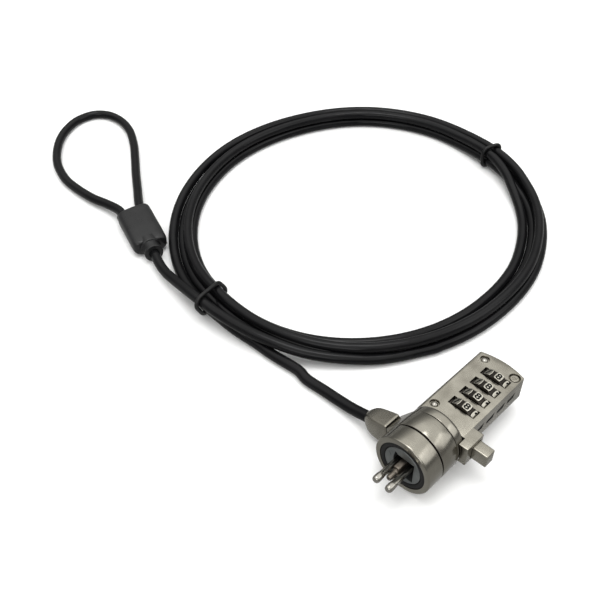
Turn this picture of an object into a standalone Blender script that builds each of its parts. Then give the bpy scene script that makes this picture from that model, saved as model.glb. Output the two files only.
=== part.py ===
"""Laptop cable lock: a four-dial lock head with two spreading prongs at its nose, a collar that
swivels on the barrel and holds the cable, and a vinyl-coated steel cable that is wound four
times, tied twice and ends in a loop. Lengths are in millimetres until they reach Blender."""

import math

import bmesh
import bpy
from mathutils import Matrix, Vector

MM = 0.001

# The barrel's axis runs along Y. This is where it meets the plane of the nose.
NOSE = (2.87, -21.57, 10.15)

# Barrel, measured back from the nose along +Y.
BARREL_R = 10.15
CORE_R = 8.2
NECK_R = 8.8
PLUG_R = 6.6
FRONT_COLLAR_LENGTH = 6.6
GROOVE = 0.5
SWIVEL_COLLAR_LENGTH = 7.0
NECK_END = 18.0
BARREL_STEPS = 40

# Dial box, from the barrel's axis.
BOX_LEFT = -9.1
BOX_RIGHT = 8.2
BOX_FRONT = 18.3
BOX_BACK = 51.2
BACK_BULGE = 1.5
BOX_TOP = 4.45
BOX_BOTTOM = -4.25
TOP_WALL = 1.2
LUG_RIGHT = 11.3
LUG_FRONT = 16.0
LUG_BACK = 23.6
LUG_BOTTOM = -2.9

# Dials on their spindle.
DIAL_COUNT = 4
DIAL_R = 6.2
DIAL_WIDTH = 3.2
DIAL_X = 1.43
DIAL_Z = -0.3
FIRST_DIAL_Y = 27.9
DIAL_PITCH = 5.7
HUB_R = 2.95
HUB_BORE = 2.35
HUB_LENGTH = 4.0
SPINDLE_R = 1.25
WINDOW = 3.6

# Prongs and the pin that holds them apart.
PRONG_X = 2.35
PRONG_TIP_Y = -8.3
PRONG_TIP_R = 1.25
PIVOT_Y = 10.2
PIVOT_R = 0.6

# Push button and its stem.
BUTTON_Y = 20.2
BUTTON_WIDTH = 4.2
BUTTON_Z = 0.55
BUTTON_HEIGHT = 5.0
BUTTON_IN = 9.9
BUTTON_OUT = 16.3
STEM_Y = 19.25
STEM_WIDTH = 1.7
STEM_TIP = 3.4

# Cable holder, out along the collar's side boss, which hangs a little below level.
DROOP = math.radians(14)
COLLAR_MID_Y = FRONT_COLLAR_LENGTH + GROOVE + SWIVEL_COLLAR_LENGTH / 2
BOSS_END = 11.5
HOLDER_START = 11.8
HOLDER_END = 22.3
HOLDER_ROOT = 7.0
HOLDER_TIP = 5.2

# Cable.
CABLE_D = 4.0
CABLE_START = 18.7
CABLE_EXIT = 22.5
COIL_CENTRE = (-96.3, 71.0)
COIL_LONG = 82.8
COIL_SHORT = 73.1
COIL_TURNED = math.radians(117)
COIL_HALF_WIDTH = 5.7
COIL_HIGH = 8.4
COIL_STEPS = 64
TIE_WIRE_R = 0.8
TIE_NOTCH = 2.0
TIE_TOP = 10.8
TIES = ((math.radians(-91), 7.0, 10.0), (math.radians(78), 7.0, 7.0))
LOCK_LEAD = ((-27.0, -11.05, 2.95), (-38.0, -11.0, 2.1), (-48.5, -11.1, 2.05), (-57.5, -11.3, 2.05))
FERRULE_END = (-135.2, -8.0, 4.0)
FERRULE_ANGLE = math.radians(160.7)
FERRULE_LENGTH = 33.0
NECK_LENGTH = 8.0
FERRULE_WIDTH = 13.8
FERRULE_THICKNESS = 7.4
LEG_OFFSET = 4.3
LOOP_LEAD = ((-128.5, -9.7, 3.0), (-121.0, -11.2, 2.2))
LOOP_ROUTE = (
    (-178.0, -0.4, 3.3), (-187.6, -1.9, 2.6), (-198.6, -3.0, 2.1), (-209.6, -2.3, 2.05),
    (-221.6, 1.4, 2.05), (-231.2, 6.8, 2.05), (-240.2, 14.0, 2.05), (-246.9, 22.2, 2.05),
    (-250.9, 31.5, 2.05), (-250.0, 40.5, 2.05), (-244.2, 45.5, 2.05), (-235.2, 46.6, 2.05),
    (-224.2, 44.0, 2.05), (-212.2, 37.8, 2.05), (-200.7, 30.2, 2.1), (-190.2, 23.0, 2.3),
    (-179.0, 15.7, 3.0),
)


def start_scene():
    for obj in list(bpy.data.objects):
        bpy.data.objects.remove(obj, do_unlink=True)
    made = []
    for name in ("laptop_cable_lock", "cutters"):
        collection = bpy.data.collections.new(name)
        bpy.context.scene.collection.children.link(collection)
        made.append(collection)
    return made


def material(name, color, roughness, metallic):
    made = bpy.data.materials.new(name)
    made.use_nodes = True
    shader = made.node_tree.nodes["Principled BSDF"]
    shader.inputs["Base Color"].default_value = (*color, 1)
    shader.inputs["Roughness"].default_value = roughness
    shader.inputs["Metallic"].default_value = metallic
    return made


def make_materials():
    looks = {
        "satin_nickel": ((0.62, 0.60, 0.54), 0.32, 1.0),
        "cast_zinc": ((0.36, 0.38, 0.38), 0.55, 1.0),
        "polished_steel": ((0.68, 0.67, 0.64), 0.22, 1.0),
        "spring_steel": ((0.50, 0.50, 0.50), 0.35, 1.0),
        "face_rubber": ((0.015, 0.015, 0.016), 0.75, 0.0),
        "cable_vinyl": ((0.010, 0.010, 0.011), 0.22, 0.0),
        "moulded_black": ((0.020, 0.020, 0.022), 0.48, 0.0),
        "crimp_aluminium": ((0.70, 0.70, 0.71), 0.40, 1.0),
    }
    return {name: material(name, *look) for name, look in looks.items()}


def scaled(point):
    return Vector(point) * MM


def finish(obj, collection, parent=None, location=(0, 0, 0), rotation=(0, 0, 0), look=None):
    collection.objects.link(obj)
    obj.parent = parent
    obj.location = scaled(location)
    obj.rotation_euler = rotation
    if look:
        obj.data.materials.append(LOOKS[look])
    if collection is CUTTERS:
        obj.hide_render = True
        obj.display_type = "WIRE"
    return obj


def empty(name, parent, location, rotation=(0, 0, 0)):
    return finish(bpy.data.objects.new(name, None), PARTS, parent, location, rotation)


def object_from_bmesh(name, bm):
    mesh = bpy.data.meshes.new(name)
    bm.normal_update()
    bm.to_mesh(mesh)
    bm.free()
    return bpy.data.objects.new(name, mesh)


def smooth(obj):
    obj.data.shade_smooth()
    obj.data.set_sharp_from_angle(angle=math.radians(35))
    return obj


def box(name, low, high):
    """A box between two corners, in its object's own frame."""
    bm = bmesh.new()
    bmesh.ops.create_cube(bm, size=1)
    size = [b - a for a, b in zip(low, high)]
    middle = [(a + b) / 2 for a, b in zip(low, high)]
    bmesh.ops.scale(bm, vec=Vector(size) * MM, verts=bm.verts)
    bmesh.ops.translate(bm, vec=scaled(middle), verts=bm.verts)
    return object_from_bmesh(name, bm)


def rod(name, radius, start, end, axis, steps=24):
    """A cylinder about an axis through the object's own origin, turned to lie along X, Y or Z."""
    bm = bmesh.new()
    bmesh.ops.create_cone(
        bm, cap_ends=True, segments=steps, radius1=radius * MM, radius2=radius * MM, depth=(end - start) * MM
    )
    bmesh.ops.translate(bm, vec=(0, 0, (start + end) / 2 * MM), verts=bm.verts)
    turn = {"X": Matrix.Rotation(math.pi / 2, 4, "Y"), "Y": Matrix.Rotation(-math.pi / 2, 4, "X")}
    if axis in turn:
        bmesh.ops.transform(bm, matrix=turn[axis], verts=bm.verts)
    return smooth(object_from_bmesh(name, bm))


def turned(name, profile, steps, closed=True):
    """A ring, or with closed False a solid of revolution, about its object's Z axis. The profile holds
    (radius, height) pairs and runs down the outer side."""
    bm = bmesh.new()
    verts = [bm.verts.new((r * MM, 0, z * MM)) for r, z in profile]
    for first, second in zip(verts, verts[1:]):
        bm.edges.new((first, second))
    if closed:
        bm.edges.new((verts[-1], verts[0]))
    obj = object_from_bmesh(name, bm)
    screw = obj.modifiers.new("Screw", "SCREW")
    screw.axis = "Z"
    screw.angle = 2 * math.pi
    screw.steps = steps
    screw.render_steps = steps
    screw.use_merge_vertices = True
    screw.merge_threshold = 0.00001
    screw.use_smooth_shade = False
    return obj


def outline(name, points, low, high):
    """A flat outline in plan, given as a closed list of points, filled between two heights."""
    curve = bpy.data.curves.new(name, "CURVE")
    curve.dimensions = "2D"
    curve.fill_mode = "BOTH"
    curve.extrude = (high - low) / 2 * MM
    spline = curve.splines.new("POLY")
    spline.points.add(len(points) - 1)
    for point, (x, y) in zip(spline.points, points):
        point.co = (x * MM, y * MM, 0, 1)
    spline.use_cyclic_u = True
    drawn = bpy.data.objects.new(name + "_outline", curve)
    bpy.context.scene.collection.objects.link(drawn)
    graph = bpy.context.evaluated_depsgraph_get()
    mesh = bpy.data.meshes.new_from_object(drawn.evaluated_get(graph))
    bpy.data.objects.remove(drawn, do_unlink=True)
    bm = bmesh.new()
    bm.from_mesh(mesh)
    bpy.data.meshes.remove(mesh)
    bmesh.ops.remove_doubles(bm, verts=bm.verts, dist=0.000001)
    bmesh.ops.translate(bm, vec=(0, 0, (low + high) / 2 * MM), verts=bm.verts)
    bmesh.ops.recalc_face_normals(bm, faces=bm.faces)
    return object_from_bmesh(name, bm)


def tube(name, points, radius, sides_step=2, cyclic=False):
    curve = bpy.data.curves.new(name, "CURVE")
    curve.dimensions = "3D"
    curve.bevel_depth = radius * MM
    curve.bevel_resolution = sides_step
    curve.use_fill_caps = not cyclic
    spline = curve.splines.new("POLY")
    spline.points.add(len(points) - 1)
    for point, place in zip(spline.points, points):
        point.co = (*scaled(place), 1)
    spline.use_cyclic_u = cyclic
    return bpy.data.objects.new(name, curve)


def helix(radius, start, end, turns, axis, steps=10):
    """Points of a compression spring about an axis through its object's own origin."""
    points = []
    for step in range(turns * steps + 1):
        angle = 2 * math.pi * step / steps
        along = start + (end - start) * step / (turns * steps)
        across = (radius * math.cos(angle), radius * math.sin(angle))
        points.append((along, *across) if axis == "X" else (across[0], along, across[1]))
    return points


def bevel(obj, width, segments=2):
    modifier = obj.modifiers.new("Bevel", "BEVEL")
    modifier.width = width * MM
    modifier.segments = segments
    modifier.limit_method = "ANGLE"
    modifier.angle_limit = math.radians(40)


def boolean(obj, other, operation, parent=None, location=(0, 0, 0), rotation=(0, 0, 0)):
    """Cuts obj with other or joins other to it. Both are placed on the same parent."""
    finish(other, CUTTERS, parent, location, rotation)
    modifier = obj.modifiers.new(operation.title(), "BOOLEAN")
    modifier.operation = operation
    modifier.solver = "EXACT"
    modifier.object = other


def cut(obj, other, parent=None, location=(0, 0, 0), rotation=(0, 0, 0)):
    boolean(obj, other, "DIFFERENCE", parent, location, rotation)


def join(obj, other, parent=None, location=(0, 0, 0), rotation=(0, 0, 0)):
    boolean(obj, other, "UNION", parent, location, rotation)


def smooth_route(points, spacing):
    """Points about one spacing apart on a Catmull-Rom curve through the route's own points."""
    route = [Vector(p) for p in points]
    route = [2 * route[0] - route[1], *route, 2 * route[-1] - route[-2]]
    line = []
    for a, b, c, d in zip(route, route[1:], route[2:], route[3:]):
        steps = max(1, round((c - b).length / spacing))
        for step in range(steps):
            t = step / steps
            line.append(
                0.5 * (2 * b + (c - a) * t + (2 * a - 5 * b + 4 * c - d) * t * t
                       + (3 * b - a - 3 * c + d) * t ** 3)
            )
    line.append(route[-2])
    return [tuple(p) for p in line]


def along_y(name, profile, steps, look, parent, closed=True, location=(0, 0, 0)):
    """A turned piece whose height runs back along the barrel."""
    piece = turned(name, profile, steps, closed)
    return finish(piece, PARTS, parent, location, (-math.pi / 2, 0, 0), look)


def build_barrel(head):
    length = FRONT_COLLAR_LENGTH
    bore = CORE_R + 0.15
    along_y(
        "front_collar",
        [(bore, length), (9.75, length), (BARREL_R, length - 0.4), (BARREL_R, 0.7), (9.9, 0.2), (9.5, 0),
         (bore, 0)],
        BARREL_STEPS, "satin_nickel", head,
    )
    along_y(
        "face_seal",
        [(6.8, 1.5), (8.25, 1.5), (8.25, 0.3), (8.05, 0.1), (7.0, 0.1), (6.8, 0.3)],
        BARREL_STEPS, "face_rubber", head,
    )
    neck_start = FRONT_COLLAR_LENGTH + 2 * GROOVE + SWIVEL_COLLAR_LENGTH
    along_y(
        "barrel_core",
        [(1.35, NECK_END), (8.3, NECK_END), (NECK_R, NECK_END - 0.5), (NECK_R, neck_start + 0.3),
         (8.5, neck_start), (CORE_R, neck_start), (CORE_R, 1.8), (6.75, 1.8), (6.75, 13.7), (1.35, 13.7)],
        BARREL_STEPS, "satin_nickel", head,
    )
    plug = along_y(
        "nose_plug",
        [(0, 13.4), (PLUG_R, 13.4), (PLUG_R, 0.45), (PLUG_R - 0.3, 0.15), (0, 0.15)],
        BARREL_STEPS, "cast_zinc", head, closed=False,
    )
    cut(plug, box("pocket_cutter", (-3.35, -1, -4.5), (3.35, 15, 4.5)), head)
    for side, name in ((-1, "left"), (1, "right")):
        place = (side * PRONG_X, PIVOT_Y, 0)
        cut(plug, rod("pivot_hole_" + name, PIVOT_R + 0.05, -8, 8, "Z", 16), head, place)


def build_prongs(head):
    for side, name in ((-1, "left"), (1, "right")):
        place = (side * PRONG_X, PIVOT_Y, 0)
        reach = PRONG_TIP_Y - PIVOT_Y
        arm = box("prong_" + name, (-0.85, reach, -1.0), (0.85, 1.4, 1.0))
        bevel(arm, 0.25)
        finish(arm, PARTS, head, place, look="polished_steel")
        tip = turned("prong_tip_" + name, [(0, 2.6), (0.95, 2.4), (1.2, 1.2), (PRONG_TIP_R, 0),
                                           (1.05, -0.7), (0.6, -1.1), (0, -1.25)], 16, closed=False)
        join(arm, tip, head, (side * PRONG_X, PRONG_TIP_Y, 0), (-math.pi / 2, 0, 0))
        cut(arm, rod("prong_hole_" + name, PIVOT_R + 0.05, -3, 3, "Z", 16), head, place)
        pin = rod("pivot_pin_" + name, PIVOT_R, -5.4, 5.4, "Z", 16)
        finish(pin, PARTS, head, place, look="polished_steel")


def build_release_slide(head):
    """The pin and wedge between the prongs, its rod, and the cam plate that the button pushes back."""
    slide = box("release_slide", (-1.0, -2.6, -1.9), (1.0, 11.4, 1.9))
    finish(slide, PARTS, head, look="cast_zinc")
    nose = turned("slide_nose", [(0, 4), (0.9, 4), (0.9, 0.5), (0.55, 0.1), (0, 0)], 16, closed=False)
    join(slide, nose, head, (0, -6.1, 0), (-math.pi / 2, 0, 0))
    join(slide, rod("slide_rod", 0.9, 10.6, 21.0, "Y", 16), head)
    gap = 0.3
    cam = STEM_Y - STEM_WIDTH / 2
    plate = [(-3.0, 20.7), (0.2, 20.7), (0.2, cam), (STEM_TIP - gap, cam), (STEM_TIP - gap + 2.0, cam + 2.0),
             (STEM_TIP - gap + 2.0, 22.0), (-3.0, 22.0)]
    join(slide, outline("slide_cam", plate, -1.2, 1.2), head)


def build_button(head):
    half = BUTTON_WIDTH / 2
    low = BUTTON_Z - BUTTON_HEIGHT / 2
    button = box("push_button", (BUTTON_IN, BUTTON_Y - half, low),
                 (BUTTON_OUT, BUTTON_Y + half, low + BUTTON_HEIGHT))
    bevel(button, 0.45)
    finish(button, PARTS, head, look="satin_nickel")
    front = STEM_Y - STEM_WIDTH / 2
    back = STEM_Y + STEM_WIDTH / 2
    stem = [(STEM_TIP, front), (STEM_TIP + STEM_WIDTH, back), (BUTTON_IN + 1, back), (BUTTON_IN + 1, front)]
    join(button, outline("button_stem", stem, -1.2, 1.2), head)
    place = (0, BUTTON_Y + 1.0, BUTTON_Z)
    cut(button, rod("spring_bore", 0.8, BUTTON_IN - 1, 13.8, "X", 16), head, place)
    spring = tube("button_spring", helix(0.5, 7.95, 13.5, 6, "X"), 0.12, 0)
    finish(spring, PARTS, head, place, look="spring_steel")


def back_outline():
    """The dial box in plan: straight sides and a back edge bowed outwards."""
    points = [(BOX_LEFT, BOX_FRONT), (BOX_RIGHT, BOX_FRONT)]
    half = (BOX_RIGHT - BOX_LEFT) / 2
    radius = (half ** 2 + BACK_BULGE ** 2) / (2 * BACK_BULGE)
    middle = (BOX_RIGHT + BOX_LEFT) / 2
    spread = math.asin(half / radius)
    centre_y = BOX_BACK + BACK_BULGE - radius
    for step in range(9):
        angle = spread * (1 - step / 4)
        points.append((middle + radius * math.sin(angle), centre_y + radius * math.cos(angle)))
    return points


def build_body(head):
    body = outline("lock_body", back_outline(), BOX_BOTTOM, BOX_TOP)
    bevel(body, 0.5)
    finish(body, PARTS, head, look="satin_nickel")
    lug = box("side_lug", (BOX_RIGHT - 0.9, LUG_FRONT, LUG_BOTTOM), (LUG_RIGHT, LUG_BACK, BOX_TOP))
    bevel(lug, 0.3)
    join(body, lug, head)
    cut(body, rod("neck_seat", NECK_R + 0.35, LUG_FRONT - 1, BOX_FRONT - 0.15, "Y", 36), head)
    ceiling = BOX_TOP - TOP_WALL
    cut(body, box("cover_seat", (-8.3, 19.2, -6), (7.6, 47.6, -2.95)), head)
    cut(body, box("slide_room", (-4.2, 17, -3.1), (6.9, 26, ceiling)), head)
    cut(body, box("dial_room", (-7.9, 25.6, -3.3), (7.1, 47.6, ceiling)), head)
    pocket_low = BUTTON_Z - BUTTON_HEIGHT / 2 - 0.2
    pocket_half = BUTTON_WIDTH / 2 + 0.2
    cut(body, box("button_pocket", (7.7, BUTTON_Y - pocket_half, pocket_low),
                  (13, BUTTON_Y + pocket_half, pocket_low + BUTTON_HEIGHT + 0.4)), head)
    stem_half = STEM_WIDTH / 2 + 0.2
    cut(body, box("stem_way", (6, STEM_Y - stem_half, -1.4), (8, STEM_Y + stem_half, 1.4)), head)
    for index in range(DIAL_COUNT):
        y = FIRST_DIAL_Y + index * DIAL_PITCH
        half = WINDOW / 2
        name = str(index + 1)
        cut(body, box("window_" + name, (DIAL_X - 4.85, y - half, 3), (DIAL_X + 4.85, y + half, 6)), head)
        cut(body, box("side_slot_" + name, (6, y - 1.5, -2.5), (10, y + 1.5, -0.4)), head)
        relief = rod("dial_relief_" + name, DIAL_R + 0.3, y - half, y + half, "Y", 40)
        cut(body, relief, head, (DIAL_X, 0, DIAL_Z))
    return body


def build_fasteners(head, body, cover):
    for name, x, y in (("rear_rivet", -5.7, 49.4), ("front_rivet", -6.0, 22.9)):
        seat = turned(name + "_seat", [(0, 6), (1.6, 6), (1.45, 3.55), (1.0, 3.5), (1.0, -6), (0, -6)], 20,
                      closed=False)
        cut(body, seat, head, (x, y, 0))
        rivet = turned(name, [(0, 4.42), (0.6, 4.35), (1.05, 4.1), (1.2, 3.8), (0.85, 3.8), (0.85, -3.9),
                              (0, -3.9)], 20, closed=False)
        finish(rivet, PARTS, head, (x, y, 0), look="polished_steel")
        if y < BOX_BACK - 4:
            cut(cover, rod(name + "_cover_hole", 1.0, -6, 0, "Z", 20), head, (x, y, 0))
    place = (5.9, 49.2, 0)
    seat = turned("screw_seat", [(0, 6), (1.6, 6), (1.6, 3.3), (0.95, 3.3), (0.95, 0), (0, 0)], 24, closed=False)
    cut(body, seat, head, place)
    screw = turned("code_change_screw", [(0, 4.35), (1.25, 4.35), (1.4, 4.2), (1.4, 3.6), (0.8, 3.6), (0.8, 0.3),
                                         (0, 0.3)], 24, closed=False)
    finish(screw, PARTS, head, place, look="polished_steel")
    cut(screw, box("screw_slot", (-1.1, -0.2, 4.05), (1.1, 0.2, 5)), head, place, (0, 0, math.radians(35)))


def build_cover(head):
    cover = box("base_cover", (-8.1, 19.4, BOX_BOTTOM), (7.45, 47.3, -3.25))
    finish(cover, PARTS, head, look="satin_nickel")
    for index in range(DIAL_COUNT):
        y = FIRST_DIAL_Y + index * DIAL_PITCH
        half = WINDOW / 2
        cut(cover, box("base_window_" + str(index + 1), (DIAL_X - 5.7, y - half, -6), (DIAL_X + 5.7, y + half, 0)),
            head)
    return cover


def build_dials(head):
    half = DIAL_WIDTH / 2
    bore = HUB_R + 0.1
    for index in range(DIAL_COUNT):
        name = str(index + 1)
        place = (DIAL_X, FIRST_DIAL_Y + index * DIAL_PITCH, DIAL_Z)
        along_y(
            "dial_" + name,
            [(bore, half), (DIAL_R - 0.25, half), (DIAL_R, half - 0.25), (DIAL_R, 0.25 - half),
             (DIAL_R - 0.25, -half), (bore, -half)],
            40, "satin_nickel", head, location=place,
        )
        end = HUB_LENGTH / 2
        along_y("dial_hub_" + name, [(HUB_BORE, end), (HUB_R, end), (HUB_R, -end), (HUB_BORE, -end)],
                20, "polished_steel", head, location=place)


def build_spindle(head):
    place = (DIAL_X, 0, DIAL_Z)
    last = FIRST_DIAL_Y + (DIAL_COUNT - 1) * DIAL_PITCH
    spindle = rod("spindle", SPINDLE_R, 22.3, last + 0.6, "Y", 16)
    finish(spindle, PARTS, head, place, look="polished_steel")
    for index in range(DIAL_COUNT):
        y = FIRST_DIAL_Y + index * DIAL_PITCH - HUB_LENGTH / 2 - 0.9
        if index:
            join(spindle, box("gate_fin_" + str(index + 1), (-0.35, y, 0), (0.35, y + 0.9, 2.1)), head, place)
    spring = tube("slide_spring", helix(1.75, 22.5, 25.5, 3, "Y"), 0.18, 0)
    finish(spring, PARTS, head, place, look="spring_steel")


def build_detent(head):
    """One strip of spring steel, cut into a tongue for each dial."""
    strip = box("detent_strip", (-5.75, 25.9, -2.6), (-5.45, 47.3, 2.6))
    finish(strip, PARTS, head, look="spring_steel")
    for index in range(DIAL_COUNT - 1):
        y = FIRST_DIAL_Y + (index + 0.5) * DIAL_PITCH
        cut(strip, box("tongue_gap_" + str(index + 1), (-7, y - 0.4, -1.4), (-4, y + 0.4, 4)), head)


def build_cable_end(head):
    """The swivel collar with its side boss, and what the boss holds. X runs out along the boss."""
    frame = empty("collar_frame", head, (0, COLLAR_MID_Y, 0), (0, math.pi - DROOP, 0))
    half = SWIVEL_COLLAR_LENGTH / 2
    bore = CORE_R + 0.2
    collar = turned(
        "swivel_collar",
        [(bore, half), (9.85, half), (BARREL_R, half - 0.3), (BARREL_R, 0.3 - half), (9.85, -half), (bore, -half)],
        BARREL_STEPS,
    )
    finish(collar, PARTS, frame, rotation=(-math.pi / 2, 0, 0), look="satin_nickel")
    boss_half = HOLDER_ROOT / 2
    boss = box("collar_boss", (9.0, -boss_half + 0.1, -boss_half), (BOSS_END, boss_half - 0.1, boss_half))
    join(collar, boss, frame)
    cut(collar, rod("stud_hole", 1.4, 9.6, 13, "X", 20), frame)

    stud_quarter = (0, math.pi / 2, 0)
    stud = turned("swivel_stud", [(0, 14.6), (2.3, 14.6), (2.5, 14.4), (2.5, 13.5), (1.3, 13.5), (1.3, 9.9),
                                  (0, 9.9)], 20, closed=False)
    finish(stud, PARTS, frame, rotation=stud_quarter, look="polished_steel")
    stop = turned("cable_end_stop", [(0, 18.2), (2.4, 18.2), (2.7, 17.9), (2.7, 15.3), (2.4, 15.0), (0, 15.0)],
                  20, closed=False)
    finish(stop, PARTS, frame, rotation=stud_quarter, look="crimp_aluminium")

    bm = bmesh.new()
    bmesh.ops.create_cube(bm, size=1)
    for vert in bm.verts:
        outer = vert.co.x > 0
        width = HOLDER_TIP if outer else HOLDER_ROOT
        vert.co.x = (HOLDER_END if outer else HOLDER_START) * MM
        vert.co.y *= width * MM
        vert.co.z *= width * MM
    holder = object_from_bmesh("cable_holder", bm)
    bevel(holder, 0.9, 3)
    finish(holder, PARTS, frame, look="satin_nickel")
    cut(holder, rod("end_stop_room", 2.9, 13.2, 18.5, "X", 20), frame)
    cut(holder, rod("cable_bore", 2.15, 17, 24, "X", 20), frame)
    cut(holder, rod("stud_bore", 1.5, 11, 14, "X", 20), frame)


def coil_point(angle, offset, height):
    """A point of the coil: the angle is the direction from its centre, the offset is outwards."""
    turned_by = angle - COIL_TURNED
    spin = math.atan2(math.sin(turned_by) * COIL_LONG, math.cos(turned_by) * COIL_SHORT)
    along = COIL_LONG * math.cos(spin)
    across = COIL_SHORT * math.sin(spin)
    reach = math.hypot(along, across) + offset
    return (COIL_CENTRE[0] + reach * math.cos(angle), COIL_CENTRE[1] + reach * math.sin(angle), height)


def build_coil():
    mean = (COIL_LONG + COIL_SHORT) / 2
    inner = mean - COIL_HALF_WIDTH
    outer = mean + COIL_HALF_WIDTH
    round_off = 1.6
    coil = turned(
        "cable_coil",
        [(inner + round_off, COIL_HIGH), (outer - round_off, COIL_HIGH), (outer, COIL_HIGH - round_off),
         (outer, round_off), (outer - round_off, 0), (inner + round_off, 0), (inner, round_off),
         (inner, COIL_HIGH - round_off)],
        COIL_STEPS,
    )
    finish(coil, PARTS, None, (*COIL_CENTRE, 0), (0, 0, COIL_TURNED), "cable_vinyl")
    coil.scale = (COIL_LONG / mean, COIL_SHORT / mean, 1)

    corner = 1.4
    low = TIE_WIRE_R + 0.02 + corner
    high = TIE_TOP - TIE_WIRE_R - corner
    for index, (angle, inwards, outwards) in enumerate(TIES):
        inner_side = corner - inwards
        outer_side = outwards - corner
        corners = ((outer_side, high, 0), (inner_side, high, 90), (inner_side, low, 180), (outer_side, low, 270))
        ring = []
        for side, height, start in corners:
            for step in range(4):
                around = math.radians(start + 30 * step)
                out = side + corner * math.cos(around)
                ring.append(coil_point(angle, out, height + corner * math.sin(around)))
        name = "cable_tie_" + str(index + 1)
        tie = tube(name, ring, TIE_WIRE_R, 1, cyclic=True)
        finish(tie, PARTS, None, look="face_rubber")
        notch = box(name + "_notch", (-9, -1.2, -1), (9, 1.2, TIE_NOTCH))
        cut(coil, notch, None, coil_point(angle, 0, 0), (0, 0, angle))


def build_leads():
    along = Vector((-math.cos(DROOP), 0, -math.sin(DROOP)))
    middle = Vector(NOSE) + Vector((0, COLLAR_MID_Y, 0))
    inside = [tuple(middle + along * reach) for reach in (CABLE_START, CABLE_EXIT)]
    lock_lead = tube("cable_lock_lead", smooth_route((*inside, *LOCK_LEAD), 9), CABLE_D / 2)
    finish(lock_lead, PARTS, None, look="cable_vinyl")

    start = Vector(FERRULE_END)
    back = Matrix.Rotation(FERRULE_ANGLE, 3, "Z") @ Vector((13.6, 0, 0))
    loop_lead = tube("cable_loop_lead", smooth_route((tuple(start + back), tuple(start), *LOOP_LEAD), 7), CABLE_D / 2)
    finish(loop_lead, PARTS, None, look="cable_vinyl")


def build_ferrule():
    """The black moulded sleeve over the crimp. In its own frame X runs from the single cable to the loop."""
    frame = empty("ferrule_frame", None, FERRULE_END, (0, 0, FERRULE_ANGLE))
    half = FERRULE_WIDTH / 2
    thick = FERRULE_THICKNESS / 2
    body = box("loop_ferrule", (NECK_LENGTH - 1, -half, -thick), (FERRULE_LENGTH, half, thick))
    bevel(body, 2.2, 3)
    finish(body, PARTS, frame, look="moulded_black")
    neck = turned("ferrule_neck", [(0, 12), (3.6, 12), (3.6, 1.5), (3.1, 0), (0, 0)], 20, closed=False)
    join(body, neck, frame, rotation=(0, math.pi / 2, 0))
    cut(body, box("crimp_room", (13.4, -LEG_OFFSET - 2.1, -2.3), (27.3, LEG_OFFSET + 2.1, 2.3)), frame)
    for side in (1, -1):
        cut(body, rod("leg_bore", 2.15, 26, 36, "X", 20), frame, (0, side * LEG_OFFSET, 0))
    cut(body, rod("neck_bore", 2.2, -2, 14, "X", 20), frame)
    crimp = box("crimp_sleeve", (14, -LEG_OFFSET - 1.8, -2.0), (26.8, LEG_OFFSET + 1.8, 2.0))
    bevel(crimp, 0.8)
    finish(crimp, PARTS, frame, look="crimp_aluminium")

    turn = Matrix.Rotation(FERRULE_ANGLE, 3, "Z")
    legs = []
    for side in (1, -1):
        legs.append([tuple(Vector(FERRULE_END) + turn @ Vector((x, side * LEG_OFFSET, 0)))
                     for x in (27.2, FERRULE_LENGTH + 1)])
    route = (*legs[0], *LOOP_ROUTE, *reversed(legs[1]))
    loop = tube("cable_loop", smooth_route(route, 7.5), CABLE_D / 2)
    finish(loop, PARTS, None, look="cable_vinyl")


PARTS, CUTTERS = start_scene()
LOOKS = make_materials()
head_frame = empty("head_frame", None, NOSE)
build_barrel(head_frame)
build_prongs(head_frame)
build_release_slide(head_frame)
build_button(head_frame)
lock_body = build_body(head_frame)
base_cover = build_cover(head_frame)
build_fasteners(head_frame, lock_body, base_cover)
build_dials(head_frame)
build_spindle(head_frame)
build_detent(head_frame)
build_cable_end(head_frame)
build_coil()
build_leads()
build_ferrule()
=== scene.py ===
"""Looks of the laptop cable lock: plated die-cast head, number dials, and one vinyl-coated cable
that is wound in a ring, tied twice and closed into a loop."""

import math

import bmesh
import bpy
from mathutils import Matrix, Vector


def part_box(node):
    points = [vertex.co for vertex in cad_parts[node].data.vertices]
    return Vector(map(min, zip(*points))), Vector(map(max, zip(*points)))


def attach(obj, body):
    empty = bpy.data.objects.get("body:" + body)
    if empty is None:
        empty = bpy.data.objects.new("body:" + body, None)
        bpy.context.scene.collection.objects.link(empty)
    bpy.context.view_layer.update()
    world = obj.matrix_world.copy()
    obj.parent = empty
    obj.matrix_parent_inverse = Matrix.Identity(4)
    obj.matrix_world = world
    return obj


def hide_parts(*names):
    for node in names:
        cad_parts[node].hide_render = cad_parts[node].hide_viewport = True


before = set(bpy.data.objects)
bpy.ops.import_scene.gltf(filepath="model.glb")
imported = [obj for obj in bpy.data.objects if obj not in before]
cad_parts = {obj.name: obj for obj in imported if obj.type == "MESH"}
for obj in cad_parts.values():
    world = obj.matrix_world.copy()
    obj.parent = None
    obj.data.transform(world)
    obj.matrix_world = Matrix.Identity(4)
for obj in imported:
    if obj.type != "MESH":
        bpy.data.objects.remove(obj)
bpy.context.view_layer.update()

MM = 0.001

# ------------------------------------------------------------------ sizes, in millimetres

BARREL_R = 10.15
CORE_R = 8.2
NECK_R = 9.65
PLUG_R = 6.6
FRONT_LENGTH = 6.6
GROOVE = 0.5
COLLAR_LENGTH = 7.0
NECK_END = 18.0
COLLAR_MID = FRONT_LENGTH + GROOVE + COLLAR_LENGTH / 2
DROOP = math.radians(14)

BOX_LEFT, BOX_RIGHT = -9.1, 8.2
BOX_FRONT, BOX_BACK, BACK_BULGE = 18.3, 51.2, 1.5
BOX_TOP, BOX_BOTTOM = 4.45, -4.25
LUG_RIGHT, LUG_FRONT, LUG_BACK, LUG_BOTTOM = 12.0, 15.3, 23.6, -3.1

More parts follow.
